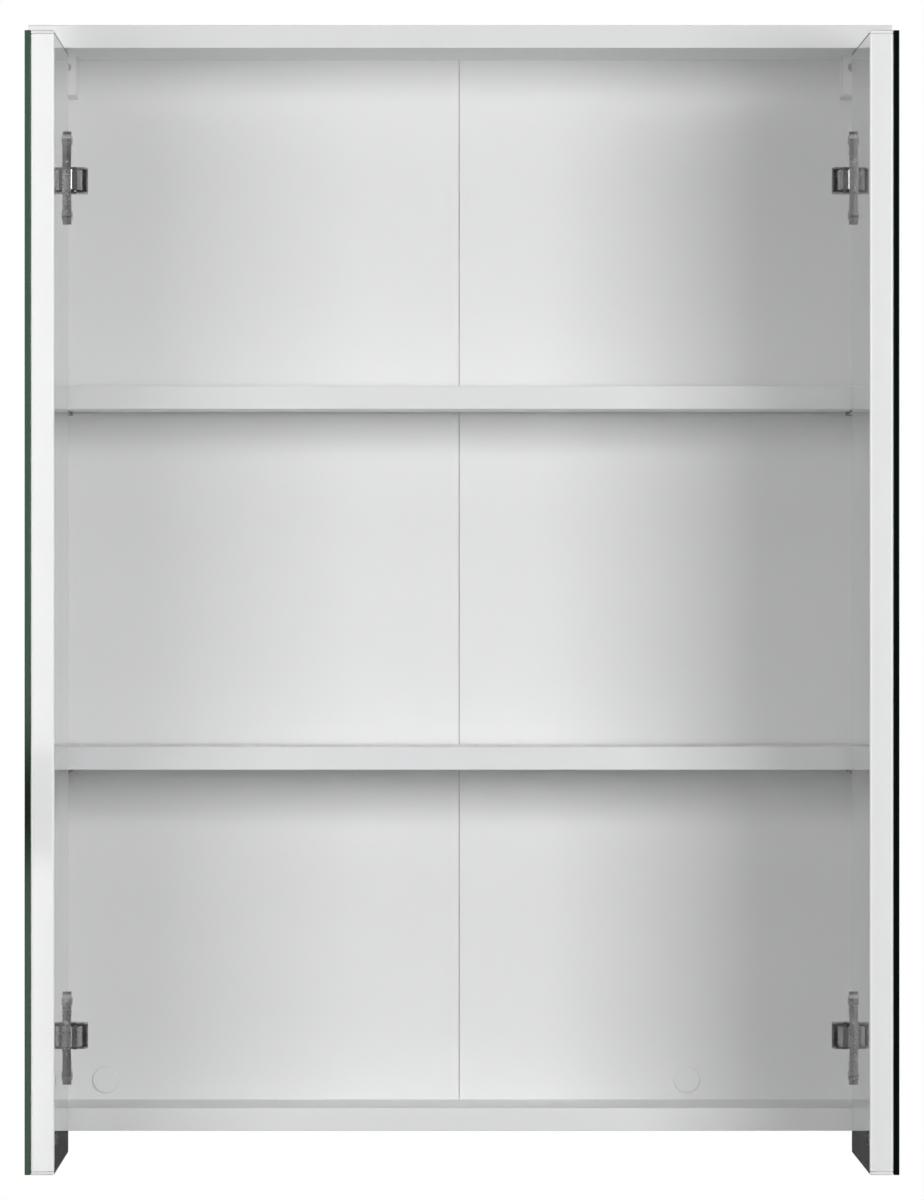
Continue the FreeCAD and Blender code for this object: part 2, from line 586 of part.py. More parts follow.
def make_link(side, level):
    """A bent steel link round the door's rim: strips between its bends and a rolled eye at each end."""
    z, width = LEVELS[level], size.link_width
    base = z - width / 2
    half = size.link_sheet / 2
    pin_in, pin_out = ARM_PIN
    cup_in, cup_out = CUP_PIN
    face, edge = size.door_open_face, size.door_open_edge
    bends = [ARM_PIN, (pin_in + 4.4, pin_out + 5.5), (face + 7.6, edge + 0.8), (face + 5.6, edge + 6),
             (face + 2.4, edge + 8.4), CUP_PIN]
    shape = None
    for (a, b), (c, d) in zip(bends, bends[1:]):
        run = math.hypot(c - a, d - b)
        nx, ny = -(d - b) / run * half, (c - a) / run * half
        strip = upright_plate(side, [(a + nx, b + ny), (c + nx, d + ny), (c - nx, d - ny), (a - nx, b - ny)],
                              base, width)
        bend = upright_pin(side, (c, d), base, width, half)
        shape = strip.fuse(bend) if shape is None else shape.fuse([strip, bend])
    eyes = [upright_pin(side, at, base, width, size.link_eye) for at in (ARM_PIN, CUP_PIN)]
    bores = [upright_pin(side, at, base - 1, width + 2, size.hinge_pin_radius + size.pin_clearance)
             for at in (ARM_PIN, CUP_PIN)]
    return shape.fuse(eyes).removeSplitter().cut(bores)


def make_links(side):
    for level in LEVELS:
        shape_node(f"hinge_link_{level}_{side}", make_link(side, level))


def make_cup(side, level):
    """A deep-drawn cup in the door's board, with a flange that lies on the inner face."""
    name = f"hinge_cup_{level}_{side}"
    z = LEVELS[level]
    face = size.door_open_face
    into_door = -inward(side)
    centre = (local_x(side, face), local_y(CUP_OUT), z)
    shell = cylinder(name + "_shell", centre, into_door, "cup_radius", "cup_depth")
    plate = box(name + "_plate", (low_x(side, face, face + size.flange_tab),
                                  local_y(CUP_OUT + size.cup_screw_offset) - size.flange_width / 2,
                                  z - size.flange_length / 2), "flange_tab", "flange_width",
                "flange_length")
    doc.recompute()
    plate = rounded(name + "_plate_round", plate, size.flange_width * 0.4,
                    lambda edge: along(edge, Vector(1, 0, 0)))
    ring = cylinder(name + "_ring", centre, inward(side), "cup_radius + 1", "flange_sheet")
    fence = box(name + "_fence", (low_x(side, face, face + size.flange_tab),
                                  local_y(CUP_OUT + size.cup_radius + 1), z - size.flange_fence / 2),
                "flange_tab", "cup_wall + 1", "flange_fence")
    hollow = cylinder(name + "_hollow", (local_x(side, face + size.flange_tab + 1), centre[1], z), into_door,
                      "cup_radius - cup_wall", "cup_depth - cup_wall + flange_tab + 1")
    bore = cylinder(name + "_pin_bore", (local_x(side, CUP_PIN[0]), local_y(CUP_PIN[1]), z - size.cup_radius),
                    UP, "hinge_pin_radius", "2 * cup_radius")
    holes = [cylinder(f"{name}_hole_{i}", (local_x(side, face - 1), local_y(CUP_OUT + size.cup_screw_offset),
                                           z + step * size.cup_screw_spacing / 2),
                      inward(side), "cup_screw_core", "flange_tab + 2") for i, step in enumerate((-1, 1))]
    return node(name, cut(name, fuse(name + "_blank", [shell, plate, ring, fence]), [hollow, bore] + holes))


def cup_pin_reach():
    """How far a cup pin reaches up and down from the hinge's middle, to end within the cup's wall."""
    far_side = size.cup_rim + size.cup_radius - size.cup_pin_from_edge + size.hinge_pin_radius
    return math.sqrt((size.cup_radius - size.cup_wall / 2) ** 2 - far_side ** 2)


def make_cup_pins(side):
    x, y, reach = local_x(side, CUP_PIN[0]), local_y(CUP_PIN[1]), cup_pin_reach()
    length = ("2 * sqrt((cup_radius - cup_wall / 2) ^ 2"
              " - (cup_rim + cup_radius - cup_pin_from_edge + hinge_pin_radius) ^ 2)")
    pins = [cylinder(f"cup_pin_{side}_{level}", (x, y, z - reach), UP, "hinge_pin_radius", length)
            for level, z in LEVELS.items()]
    return node(f"hinge_cup_pins_{side}", together(f"hinge_cup_pins_{side}", pins))


def cup_screw_spots(side):
    return [(local_x(side, size.door_open_face + size.flange_tab),
             local_y(CUP_OUT + size.cup_screw_offset), z + step * size.cup_screw_spacing / 2)
            for z in LEVELS.values() for step in (-1, 1)]


def make_cup_screws(side):
    screws = [countersunk(f"cup_screw_{side}_{i}", spot, inward(side), "cup_screw_head", "cup_screw_rise",
                          "cup_screw_core", "cup_screw_length")
              for i, spot in enumerate(cup_screw_spots(side))]
    return node(f"hinge_cup_screws_{side}", together(f"hinge_cup_screws_{side}", screws))


# ---- doors, standing open at a right angle ---------------------------------------------------------------

def make_door(side):
    face, edge = size.door_open_face, size.door_open_edge
    inner_x = low_x(side, face - size.door_panel, face)
    front_y = local_y(edge + DOOR_WIDTH)
    full_height = "carcass_height - panel - door_top_gap + door_drop"
    full_width = "carcass_width / 2 - door_side_inset - door_middle_gap / 2"
    inner_height = full_height + " - 2 * door_end_band"
    inner_base = DOOR_BASE + size.door_end_band
    core = board(f"door_board_{side}_core", (inner_x, front_y + size.door_band, inner_base),
                 "door_panel", full_width + " - 2 * door_band", inner_height)
    bores = [cylinder(f"door_{side}_{level}_bore", (local_x(side, face), local_y(CUP_OUT), z), -inward(side),
                      "cup_radius", "cup_depth") for level, z in LEVELS.items()]
    bores += [cylinder(f"door_{side}_screw_{i}", spot, -inward(side), "cup_screw_core", "cup_screw_length")
              for i, spot in enumerate(cup_screw_spots(side))]
    node(f"door_board_{side}", cut(f"door_board_{side}", core, bores))

    outward = {"front": FORWARD, "rear": REARWARD, "low": DOWN, "high": UP}
    upright, along_y = Vector(0, 0, 1), Vector(0, 1, 0)
    rear_y = local_y(edge) - size.door_band
    spans = {
        "front": ((inner_x, front_y, inner_base), "door_panel", "door_band", inner_height, upright),
        "rear": ((inner_x, rear_y, inner_base), "door_panel", "door_band", inner_height, upright),
        "low": ((inner_x, front_y, DOOR_BASE), "door_panel", full_width, "door_end_band", along_y),
        "high": ((inner_x, front_y, DOOR_TOP - size.door_end_band), "door_panel", full_width,
                 "door_end_band", along_y),
    }
    inner_side = local_x(side, face)
    strips = []
    for key, (corner, length, width, height, run) in spans.items():
        strip = box(f"door_band_{side}_{key}_strip", corner, length, width, height)
        doc.recompute()
        out = outward[key]
        reach = max(vertex.Point * out for vertex in strip.Shape.Vertexes)
        strips.append(rounded(f"door_band_{side}_{key}", strip, size.door_band_round,
                              lambda e, run=run, out=out, reach=reach: along(e, run)
                              and e.Vertexes[0].Point * out > reach - 0.01
                              and abs(e.Vertexes[0].Point.x - inner_side) < 0.01))
    node(f"door_bands_{side}", together(f"door_bands_{side}", strips))

    glass = board(f"door_mirror_{side}",
                  (low_x(side, face - size.door_panel - size.mirror_glass, face - size.door_panel), front_y,
                   DOOR_BASE), "mirror_glass", full_width, full_height)
    node(f"door_mirror_{side}", glass)

    bumpers = []
    for i, out in enumerate((DOOR_WIDTH - size.bumper_inset,)):
        start = (inner_side, local_y(edge + out), size.panel / 2)
        bumpers.append(cone(f"bumper_{side}_{i}", start, inward(side), "bumper_radius", "bumper_radius * 0.7",
                            "bumper_rise"))
    node(f"door_bumpers_{side}", together(f"door_bumpers_{side}", bumpers))


make_top_panel()
make_bottom_panel()
for side in SIDES:
    make_side_panel(side)
make_carcass_bands()
for level in SHELVES:
    make_shelf(level)
    make_shelf_pins(level)
make_joint_fittings()
make_back()
make_back_caps()
for side in SIDES:
    make_hanger(side)
    for level in LEVELS:
        make_plate(side, level)
        make_arm(side, level)
        make_cup(side, level)
    make_plate_screws(side)
    make_arm_screws(side)
    make_arm_pins(side)
    make_links(side)
    make_cup_pins(side)
    make_cup_screws(side)
    make_door(side)

doc.recompute()
faults = [item.Name for item in doc.Objects if "Invalid" in item.State or "Error" in item.State]
faults += [name for name, piece in nodes.items() if piece.Shape.isNull() or not piece.Shape.isValid()]
if faults:
    raise SystemExit("failed: " + ", ".join(faults))
os.makedirs("parts", exist_ok=True)
for name, piece in nodes.items():
    piece.Shape.exportStep(f"parts/{name}.step")
print(len(nodes), "nodes written")
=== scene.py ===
import math
import bmesh
import bpy
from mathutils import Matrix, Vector


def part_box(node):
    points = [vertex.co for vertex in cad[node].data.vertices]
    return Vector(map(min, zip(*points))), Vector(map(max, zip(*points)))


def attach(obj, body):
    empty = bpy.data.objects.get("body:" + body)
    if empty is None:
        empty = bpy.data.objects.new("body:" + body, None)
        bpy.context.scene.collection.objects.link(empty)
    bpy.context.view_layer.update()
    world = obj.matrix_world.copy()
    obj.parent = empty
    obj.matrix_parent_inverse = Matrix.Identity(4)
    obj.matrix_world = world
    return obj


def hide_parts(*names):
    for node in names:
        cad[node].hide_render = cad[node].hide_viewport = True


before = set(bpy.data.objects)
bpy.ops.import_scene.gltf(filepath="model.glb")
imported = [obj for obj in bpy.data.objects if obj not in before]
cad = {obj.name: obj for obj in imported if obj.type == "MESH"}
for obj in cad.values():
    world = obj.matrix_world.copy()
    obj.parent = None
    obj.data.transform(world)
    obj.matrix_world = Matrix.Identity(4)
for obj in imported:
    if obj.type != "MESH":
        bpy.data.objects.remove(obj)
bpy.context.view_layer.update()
scene = bpy.context.scene
bpy.ops.object.select_all(action="DESELECT")

# ---- Camera: a long lens far in front of the open cabinet, a little left of its middle and below its
# half height, square to the wall, so that both doors are seen exactly edge-on.
front_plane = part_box("bottom_panel_band")[0].y
lens_distance = 7.62
camera_data = bpy.data.cameras.new("camera")
camera_data.sensor_width = 36
camera_data.lens = 327.4
camera_data.shift_x = 0.0426
camera_data.shift_y = -0.0028
camera_data.clip_end = 60
camera = bpy.data.objects.new("camera", camera_data)
camera.location = (-0.0343, front_plane - lens_distance, 0.373)
camera.rotation_euler = (math.pi / 2, 0, 0)
scene.collection.objects.link(camera)
scene.camera = camera

# ---- Studio: white paper far behind for the lens alone; what the pieces mirror is a dark hall behind the
# cabinet and paler sides, and soft light comes from all round. A pale floor lies well below.
scene.view_settings.view_transform = "Standard"
paper_glow = 1.0
soft_glow = 0.11
world = bpy.data.worlds.new("studio")
scene.world = world
world.use_nodes = True
tree = world.node_tree


def world_light(name, colour, strength):
    light = tree.nodes.new("ShaderNodeBackground")
    light.name = name
    light.inputs["Color"].default_value = (*colour, 1)
    light.inputs["Strength"].default_value = strength
    return light


def choose_light(factor, first, second):
    """The first light where factor is 0 and the second where it is 1."""
    chooser = tree.nodes.new("ShaderNodeMixShader")
    tree.links.new(factor, chooser.inputs["Fac"])
    tree.links.new(first.outputs[0], chooser.inputs[1])
    tree.links.new(second.outputs[0], chooser.inputs[2])
    return chooser


paper = world_light("paper", (1, 1, 1), paper_glow)
soft_light = world_light("soft_light", (1, 1, 1), soft_glow)
mirrored = world_light("mirrored", (1, 1, 1), 1.0)
direction = tree.nodes.new("ShaderNodeTexCoord")
split = tree.nodes.new("ShaderNodeSeparateXYZ")
hall = tree.nodes.new("ShaderNodeValToRGB")
hall_front, hall_rear = hall.color_ramp.elements
hall_front.color = (0.16, 0.16, 0.165, 1)
hall_rear.position = 0.93
hall_rear.color = (0.004, 0.004, 0.004, 1)
for place, tone in ((0.30, 0.42), (0.55, 0.55), (0.80, 0.16)):
    stop = hall.color_ramp.elements.new(place)
    stop.color = (tone, tone, tone * 1.01, 1)
depth = tree.nodes.new("ShaderNodeMapRange")
depth.inputs["From Min"].default_value = -1
depth.inputs["From Max"].default_value = 1
rays = tree.nodes.new("ShaderNodeLightPath")
tree.links.new(direction.outputs["Generated"], split.inputs["Vector"])
tree.links.new(split.outputs["Y"], depth.inputs["Value"])
tree.links.new(depth.outputs["Result"], hall.inputs["Fac"])
tree.links.new(hall.outputs["Color"], mirrored.inputs["Color"])
unseen = choose_light(rays.outputs["Is Glossy Ray"], soft_light, mirrored)
seen = choose_light(rays.outputs["Is Camera Ray"], unseen, paper)
tree.links.new(seen.outputs[0], tree.nodes["World Output"].inputs["Surface"])

floor_level = -1.25
floor_size = 16
floor_tone = 0.72
bpy.ops.mesh.primitive_plane_add(size=floor_size, location=(0, -1.5, floor_level))
floor = bpy.context.active_object
floor.name = "floor"
floor_paint = bpy.data.materials.new("floor_paint")
floor_paint.use_nodes = True
floor_shader = floor_paint.node_tree.nodes["Principled BSDF"]
floor_shader.inputs["Base Color"].default_value = (floor_tone, floor_tone, floor_tone, 1)
floor_shader.inputs["Roughness"].default_value = 0.7
floor.data.materials.append(floor_paint)


def soft_lamp(name, place, aim, width, height, power):
    """A rectangular area lamp at place, facing aim, power in watts."""
    lamp = bpy.data.lights.new(name, "AREA")
    lamp.shape = "RECTANGLE"
    lamp.size = width
    lamp.size_y = height
    lamp.energy = power
    holder = bpy.data.objects.new(name, lamp)
    holder.location = place
    holder.visible_camera = False
    holder.rotation_euler = (Vector(aim) - Vector(place)).to_track_quat("-Z", "Y").to_euler()
    scene.collection.objects.link(holder)
    return holder


soft_lamp("right_lamp", (1.10, -3.1, 0.80), (0, -0.1, 0.37), 0.9, 0.9, 40)
soft_lamp("left_lamp", (-1.05, -3.1, 0.80), (0, -0.1, 0.37), 0.9, 0.9, 22)
soft_lamp("high_card", (0, -2.4, 2.5), (0, -0.1, 0.4), 2.0, 1.0, 5.7)
soft_lamp("top_card", (0, -1.0, 2.4), (0, -0.2, 0.7), 1.6, 1.2, 2.5)
soft_lamp("rear_lamp", (0.8, 3.4, 1.8), (0, 0, 0.35), 2.0, 1.6, 30)

# Two stacked strips far behind the lens, with a gap between them, which only polished faces mirror: they
# light the left door's glossy edge and the green of its glass, and leave the right door's glass edge dark.
strip_glow = 4.1
strip_width = 0.49
strip_middle = -1.455
strip_distance = 30
for strip_name, strip_foot, strip_head in (("upper_strip", -0.15, 2.45), ("lower_strip", -1.75, -0.515)):
    strip_height = strip_head - strip_foot
    strip_place = (strip_middle, front_plane - strip_distance, (strip_foot + strip_head) / 2)
    strip = soft_lamp(strip_name, strip_place, (strip_middle, 0, strip_place[2]), strip_width, strip_height,
                      strip_glow * math.pi * strip_width * strip_height)
    strip.visible_diffuse = False

# ---- Carcass boards: 16 mm chipboard faced with glossy white melamine on both faces. The press leaves a
# faint orange-peel in the gloss, and the pressed chips show wherever an edge has no band.


def new_group(name, inputs, outputs):
    """An empty shader node group; inputs and outputs give each socket's kind by its name."""
    group = bpy.data.node_groups.new(name, "ShaderNodeTree")
    for side_of, sockets in (("INPUT", inputs), ("OUTPUT", outputs)):
        for socket_name, kind in sockets.items():
            group.interface.new_socket(socket_name, in_out=side_of, socket_type="NodeSocket" + kind)
    return group, group.nodes.new("NodeGroupInput"), group.nodes.new("NodeGroupOutput")


def add_node(tree_of, kind, **values):
    """A node of a tree with its named inputs set; an underscore stands for a space."""
    added = tree_of.nodes.new("ShaderNode" + kind)
    for socket_name, value in values.items():
        added.inputs[socket_name.replace("_", " ")].default_value = value
    return added


def sum_of(tree_of, operation, first, second):
    """A Math node; first and second are outputs or numbers."""
    added = add_node(tree_of, "Math")
    added.operation = operation
    for i, value in enumerate((first, second)):
        if isinstance(value, (int, float)):
            added.inputs[i].default_value = value
        else:
            tree_of.links.new(value, added.inputs[i])
    return added.outputs[0]


def blend_colours(tree_of, mask, first, second):
    """The first colour where mask is 0 and the second where it is 1; each is an output or a colour."""
    added = tree_of.nodes.new("ShaderNodeMix")
    added.data_type = "RGBA"
    sockets = [socket for socket in added.inputs if socket.type == "RGBA"]
    for socket, value in zip(sockets, (first, second)):
        if isinstance(value, tuple):
            socket.default_value = (*value, 1)
        else:
            tree_of.links.new(value, socket)
    tree_of.links.new(mask, added.inputs["Factor"])
    return next(socket for socket in added.outputs if socket.type == "RGBA")


ripple_group, given, result = new_group("pressed_ripple", {"Vector": "Vector", "Scale": "Float"},
                                        {"Height": "Float"})
broad = add_node(ripple_group, "TexNoise", Detail=1.0)
fine = add_node(ripple_group, "TexNoise", Detail=2.0)
fine_scale = sum_of(ripple_group, "MULTIPLY", given.outputs["Scale"], 4.3)
ripple_group.links.new(given.outputs["Vector"], broad.inputs["Vector"])
ripple_group.links.new(given.outputs["Vector"], fine.inputs["Vector"])
ripple_group.links.new(given.outputs["Scale"], broad.inputs["Scale"])
ripple_group.links.new(fine_scale, fine.inputs["Scale"])
fine_share = sum_of(ripple_group, "MULTIPLY", fine.outputs["Fac"], 0.35)
ripple_group.links.new(sum_of(ripple_group, "ADD", broad.outputs["Fac"], fine_share), result.inputs["Height"])

smudge_group, given, result = new_group(
    "smudges", {"Vector": "Vector", "Scale": "Float", "Clean": "Float", "Smudged": "Float"},
    {"Roughness": "Float"})
clouds = add_node(smudge_group, "TexNoise", Detail=4.0, Roughness=0.62, Distortion=0.6)
wiped = add_node(smudge_group, "MapRange", From_Min=0.42, From_Max=0.72)
smudge_group.links.new(given.outputs["Vector"], clouds.inputs["Vector"])
smudge_group.links.new(given.outputs["Scale"], clouds.inputs["Scale"])
smudge_group.links.new(clouds.outputs["Fac"], wiped.inputs["Value"])
smudge_group.links.new(given.outputs["Clean"], wiped.inputs["To Min"])
smudge_group.links.new(given.outputs["Smudged"], wiped.inputs["To Max"])
smudge_group.links.new(wiped.outputs["Result"], result.inputs["Roughness"])

chip_group, given, result = new_group("pressed_chips", {"Vector": "Vector"},
                                      {"Color": "Color", "Height": "Float"})
flakes = add_node(chip_group, "TexVoronoi", Scale=420.0, Randomness=1.0)
dust = add_node(chip_group, "TexNoise", Scale=900.0, Detail=3.0)
chip_tones = chip_group.nodes.new("ShaderNodeValToRGB")
chip_tones.color_ramp.elements[0].color = (0.20, 0.125, 0.065, 1)
chip_tones.color_ramp.elements[1].color = (0.62, 0.46, 0.28, 1)
flake_tone = chip_group.nodes.new("ShaderNodeSeparateColor")
chip_group.links.new(given.outputs["Vector"], flakes.inputs["Vector"])
chip_group.links.new(given.outputs["Vector"], dust.inputs["Vector"])
chip_group.links.new(flakes.outputs["Color"], flake_tone.inputs["Color"])
mixed_tone = sum_of(chip_group, "MULTIPLY", sum_of(chip_group, "ADD", flake_tone.outputs["Red"],
                                                   dust.outputs["Fac"]), 0.55)
chip_group.links.new(mixed_tone, chip_tones.inputs["Fac"])
chip_group.links.new(chip_tones.outputs["Color"], result.inputs["Color"])
chip_group.links.new(mixed_tone, result.inputs["Height"])


def place_group(tree_of, group, vector, **values):
    """A node group in a material, reading vector, with its own values."""
    placed = tree_of.nodes.new("ShaderNodeGroup")
    placed.node_tree = group
    tree_of.links.new(vector, placed.inputs["Vector"])
    for socket_name, value in values.items():
        placed.inputs[socket_name].default_value = value
    return placed


def new_material(name, **values):
    """A material with its shader's own sockets set, and the object's coordinates to read."""
    made = bpy.data.materials.new(name)
    made.use_nodes = True
    shader = made.node_tree.nodes["Principled BSDF"]
    for socket_name, value in values.items():
        shader.inputs[socket_name.replace("_", " ")].default_value = value
    where = made.node_tree.nodes.new("ShaderNodeTexCoord")
    return made, made.node_tree, shader, where


def set_bump(tree_of, shader, height, strength, distance):
    """Feeds the shader's normal from a height, distance in metres."""
    bump = add_node(tree_of, "Bump", Strength=strength, Distance=distance)
    tree_of.links.new(height, bump.inputs["Height"])
    tree_of.links.new(bump.outputs["Normal"], shader.inputs["Normal"])


def cloudy(tree_of, vector, scale, dark, light):
    """A colour that drifts between two close tones."""
    drift = add_node(tree_of, "TexNoise", Scale=scale, Detail=3.0)
    tree_of.links.new(vector, drift.inputs["Vector"])
    return blend_colours(tree_of, drift.outputs["Fac"], dark, light)


def coat(names, material):
    """Gives CAD nodes one material."""
    for name in names:
        cad[name].data.materials.clear()
        cad[name].data.materials.append(material)


def face_mask(tree_of, where, axis):
    """1 on the faces that look along an axis either way, 0 on the edges and in the holes."""
    parts = tree_of.nodes.new("ShaderNodeSeparateXYZ")
    tree_of.links.new(where.outputs["Normal"], parts.inputs["Vector"])
    return sum_of(tree_of, "GREATER_THAN", sum_of(tree_of, "ABSOLUTE", parts.outputs[axis], 0.0), 0.7)


def faced_board(name, axis, dark, light, gloss, smudged, ripple):
    """White faced chipboard whose two faces look along axis."""
    made, tree_of, shader, where = new_material(name)
    vector = where.outputs["Object"]
    face = face_mask(tree_of, where, axis)
    core = place_group(tree_of, chip_group, vector)
    film = cloudy(tree_of, vector, 7.0, dark, light)
    tree_of.links.new(blend_colours(tree_of, face, core.outputs["Color"], film), shader.inputs["Base Color"])
    sheen = place_group(tree_of, smudge_group, vector, Scale=5.0, Clean=gloss, Smudged=smudged)
    rough = tree_of.nodes.new("ShaderNodeMix")
    rough.inputs["A"].default_value = 0.85
    tree_of.links.new(face, rough.inputs["Factor"])
    tree_of.links.new(sheen.outputs["Roughness"], rough.inputs["B"])
    tree_of.links.new(rough.outputs["Result"], shader.inputs["Roughness"])
    skin = place_group(tree_of, ripple_group, vector, Scale=ripple)
    relief = tree_of.nodes.new("ShaderNodeMix")
    tree_of.links.new(face, relief.inputs["Factor"])
    tree_of.links.new(core.outputs["Height"], relief.inputs["A"])
    tree_of.links.new(sum_of(tree_of, "MULTIPLY", skin.outputs["Height"], 0.12), relief.inputs["B"])
    set_bump(tree_of, shader, relief.outputs["Result"], 0.25, 0.0002)
    return made


carcass_dark, carcass_light = (0.850, 0.855, 0.860), (0.875, 0.879, 0.882)
upright_board = faced_board("upright_board", "X", carcass_dark, carcass_light, 0.17, 0.24, 190.0)
level_board = faced_board("level_board", "Z", carcass_dark, carcass_light, 0.50, 0.58, 190.0)
coat(["side_panel_left", "side_panel_right"], upright_board)
coat(["top_panel", "bottom_panel", "shelf_lower", "shelf_upper"], level_board)

# ---- Carcass edge bands: 1 mm ABS strip glued along the front edges and the top panel's ends, scraped to a
# small radius, a trace bluer and glossier than the melamine beside it.
band_plastic, tree_of, shader, where = new_material("band_plastic")
vector = where.outputs["Object"]
tree_of.links.new(cloudy(tree_of, vector, 11.0, (0.865, 0.870, 0.876), (0.885, 0.889, 0.893)),
                  shader.inputs["Base Color"])
sheen = place_group(tree_of, smudge_group, vector, Scale=9.0, Clean=0.02, Smudged=0.04)
tree_of.links.new(sheen.outputs["Roughness"], shader.inputs["Roughness"])
skin = place_group(tree_of, ripple_group, vector, Scale=330.0)
set_bump(tree_of, shader, skin.outputs["Height"], 0.02, 0.0001)
coat(["top_panel_bands", "side_panel_bands", "bottom_panel_band", "shelf_bands"], band_plastic)

# ---- Dowels and cam fittings: fluted beech dowels and die-cast zinc cams on steel bolts hold the boards
# square; white press-in covers hide the cams.
plating_group, given, result = new_group("plating_grain", {"Vector": "Vector", "Scale": "Float"},
                                         {"Tone": "Float", "Height": "Float"})
speckle = add_node(plating_group, "TexNoise", Detail=4.0, Roughness=0.7)
patches = add_node(plating_group, "TexNoise", Detail=2.0)
patch_scale = sum_of(plating_group, "MULTIPLY", given.outputs["Scale"], 0.06)
plating_group.links.new(given.outputs["Vector"], speckle.inputs["Vector"])
plating_group.links.new(given.outputs["Vector"], patches.inputs["Vector"])
plating_group.links.new(given.outputs["Scale"], speckle.inputs["Scale"])
plating_group.links.new(patch_scale, patches.inputs["Scale"])
plating_group.links.new(sum_of(plating_group, "MULTIPLY",
                               sum_of(plating_group, "ADD", speckle.outputs["Fac"], patches.outputs["Fac"]),
                               0.5), result.inputs["Tone"])
plating_group.links.new(speckle.outputs["Fac"], result.inputs["Height"])


def plated_metal(name, dark, light, smooth, dull, scale, relief):
    """Plated or rolled metal whose tone and gloss vary finely."""
    made, tree_of, shader, where = new_material(name, Metallic=1.0)
    grain = place_group(tree_of, plating_group, where.outputs["Object"], Scale=scale)
    tree_of.links.new(blend_colours(tree_of, grain.outputs["Tone"], dark, light), shader.inputs["Base Color"])
    gloss = add_node(tree_of, "MapRange", From_Min=0.35, From_Max=0.65, To_Min=smooth, To_Max=dull)
    tree_of.links.new(grain.outputs["Tone"], gloss.inputs["Value"])
    tree_of.links.new(gloss.outputs["Result"], shader.inputs["Roughness"])
    set_bump(tree_of, shader, grain.outputs["Height"], relief, 0.0001)
    return made


def moulded_plastic(name, dark, light, smooth, dull, **values):
    """Injection-moulded plastic with a faint spark-eroded texture."""
    made, tree_of, shader, where = new_material(name, **values)
    vector = where.outputs["Object"]
    tree_of.links.new(cloudy(tree_of, vector, 60.0, dark, light), shader.inputs["Base Color"])
    sheen = place_group(tree_of, smudge_group, vector, Scale=40.0, Clean=smooth, Smudged=dull)
    tree_of.links.new(sheen.outputs["Roughness"], shader.inputs["Roughness"])
    skin = place_group(tree_of, ripple_group, vector, Scale=900.0)
    set_bump(tree_of, shader, skin.outputs["Height"], 0.12, 0.0001)
    return made


def edit(piece):
    """Opens one piece in edit mode with nothing selected."""
    bpy.ops.object.select_all(action="DESELECT")
    piece.select_set(True)
    bpy.context.view_layer.objects.active = piece
    bpy.ops.object.mode_set(mode="EDIT")
    bpy.ops.mesh.select_all(action="DESELECT")


smooth_below = math.radians(50)
alike_area = 1e-7
merge_within = 1e-6


def settle_normals(piece):
    """Smooths the rounded edges and keeps the flat faces beside them flat to the light."""
    bpy.ops.object.select_all(action="DESELECT")
    piece.select_set(True)
    bpy.context.view_layer.objects.active = piece
    bpy.ops.object.shade_smooth_by_angle(angle=smooth_below)
    settling = piece.modifiers.new("settling", "WEIGHTED_NORMAL")
    settling.keep_sharp = True
    settling.weight = 100
    settling.thresh = alike_area
    bpy.ops.object.modifier_apply(modifier=settling.name)


def ease_edges(piece, arris, segments, angle=30):
    """Rounds every edge that turns by more than angle."""
    easing = piece.modifiers.new("easing", "BEVEL")
    easing.limit_method = "ANGLE"
    easing.angle_limit = math.radians(angle)
    easing.width = arris
    easing.segments = segments
    easing.miter_outer = "MITER_ARC"
    bpy.ops.object.modifier_apply(modifier=easing.name)
    settle_normals(piece)


def eased_copy(node_name, body, material, arris, segments=2):
    """A copy of a CAD node with its edges rounded, which stands for the node."""
    piece = bpy.data.objects.new(node_name + "_eased", cad[node_name].data.copy())
    scene.collection.objects.link(piece)
    edit(piece)
    bpy.ops.mesh.customdata_custom_splitnormals_clear()
    bpy.ops.mesh.select_all(action="SELECT")
    bpy.ops.mesh.remove_doubles(threshold=merge_within)
    bpy.ops.mesh.dissolve_limited(angle_limit=math.radians(1))
    bpy.ops.object.mode_set(mode="OBJECT")
    ease_edges(piece, arris, segments)
    piece.data.materials.clear()
    piece.data.materials.append(material)
    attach(piece, body)
    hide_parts(node_name)
    return piece


beech, tree_of, shader, where = new_material("beech", Roughness=0.6)
stretch = add_node(tree_of, "Mapping", Scale=(500.0, 500.0, 60.0))
fibres = add_node(tree_of, "TexNoise", Scale=1.0, Detail=4.0)
tree_of.links.new(where.outputs["Object"], stretch.inputs["Vector"])
tree_of.links.new(stretch.outputs["Vector"], fibres.inputs["Vector"])
tree_of.links.new(blend_colours(tree_of, fibres.outputs["Fac"], (0.42, 0.27, 0.15), (0.68, 0.50, 0.32)),
                  shader.inputs["Base Color"])
set_bump(tree_of, shader, fibres.outputs["Fac"], 0.3, 0.0001)
coat(["dowels"], beech)

zinc = plated_metal("zinc", (0.42, 0.43, 0.45), (0.62, 0.63, 0.64), 0.28, 0.5, 700.0, 0.25)
coat(["cam_bolts"], zinc)
eased_copy("cam_locks", "cabinet", zinc, 0.0003)
white_plastic = moulded_plastic("white_plastic", (0.80, 0.80, 0.79), (0.83, 0.83, 0.82), 0.3, 0.42)
eased_copy("cam_covers", "cabinet", white_plastic, 0.0004)

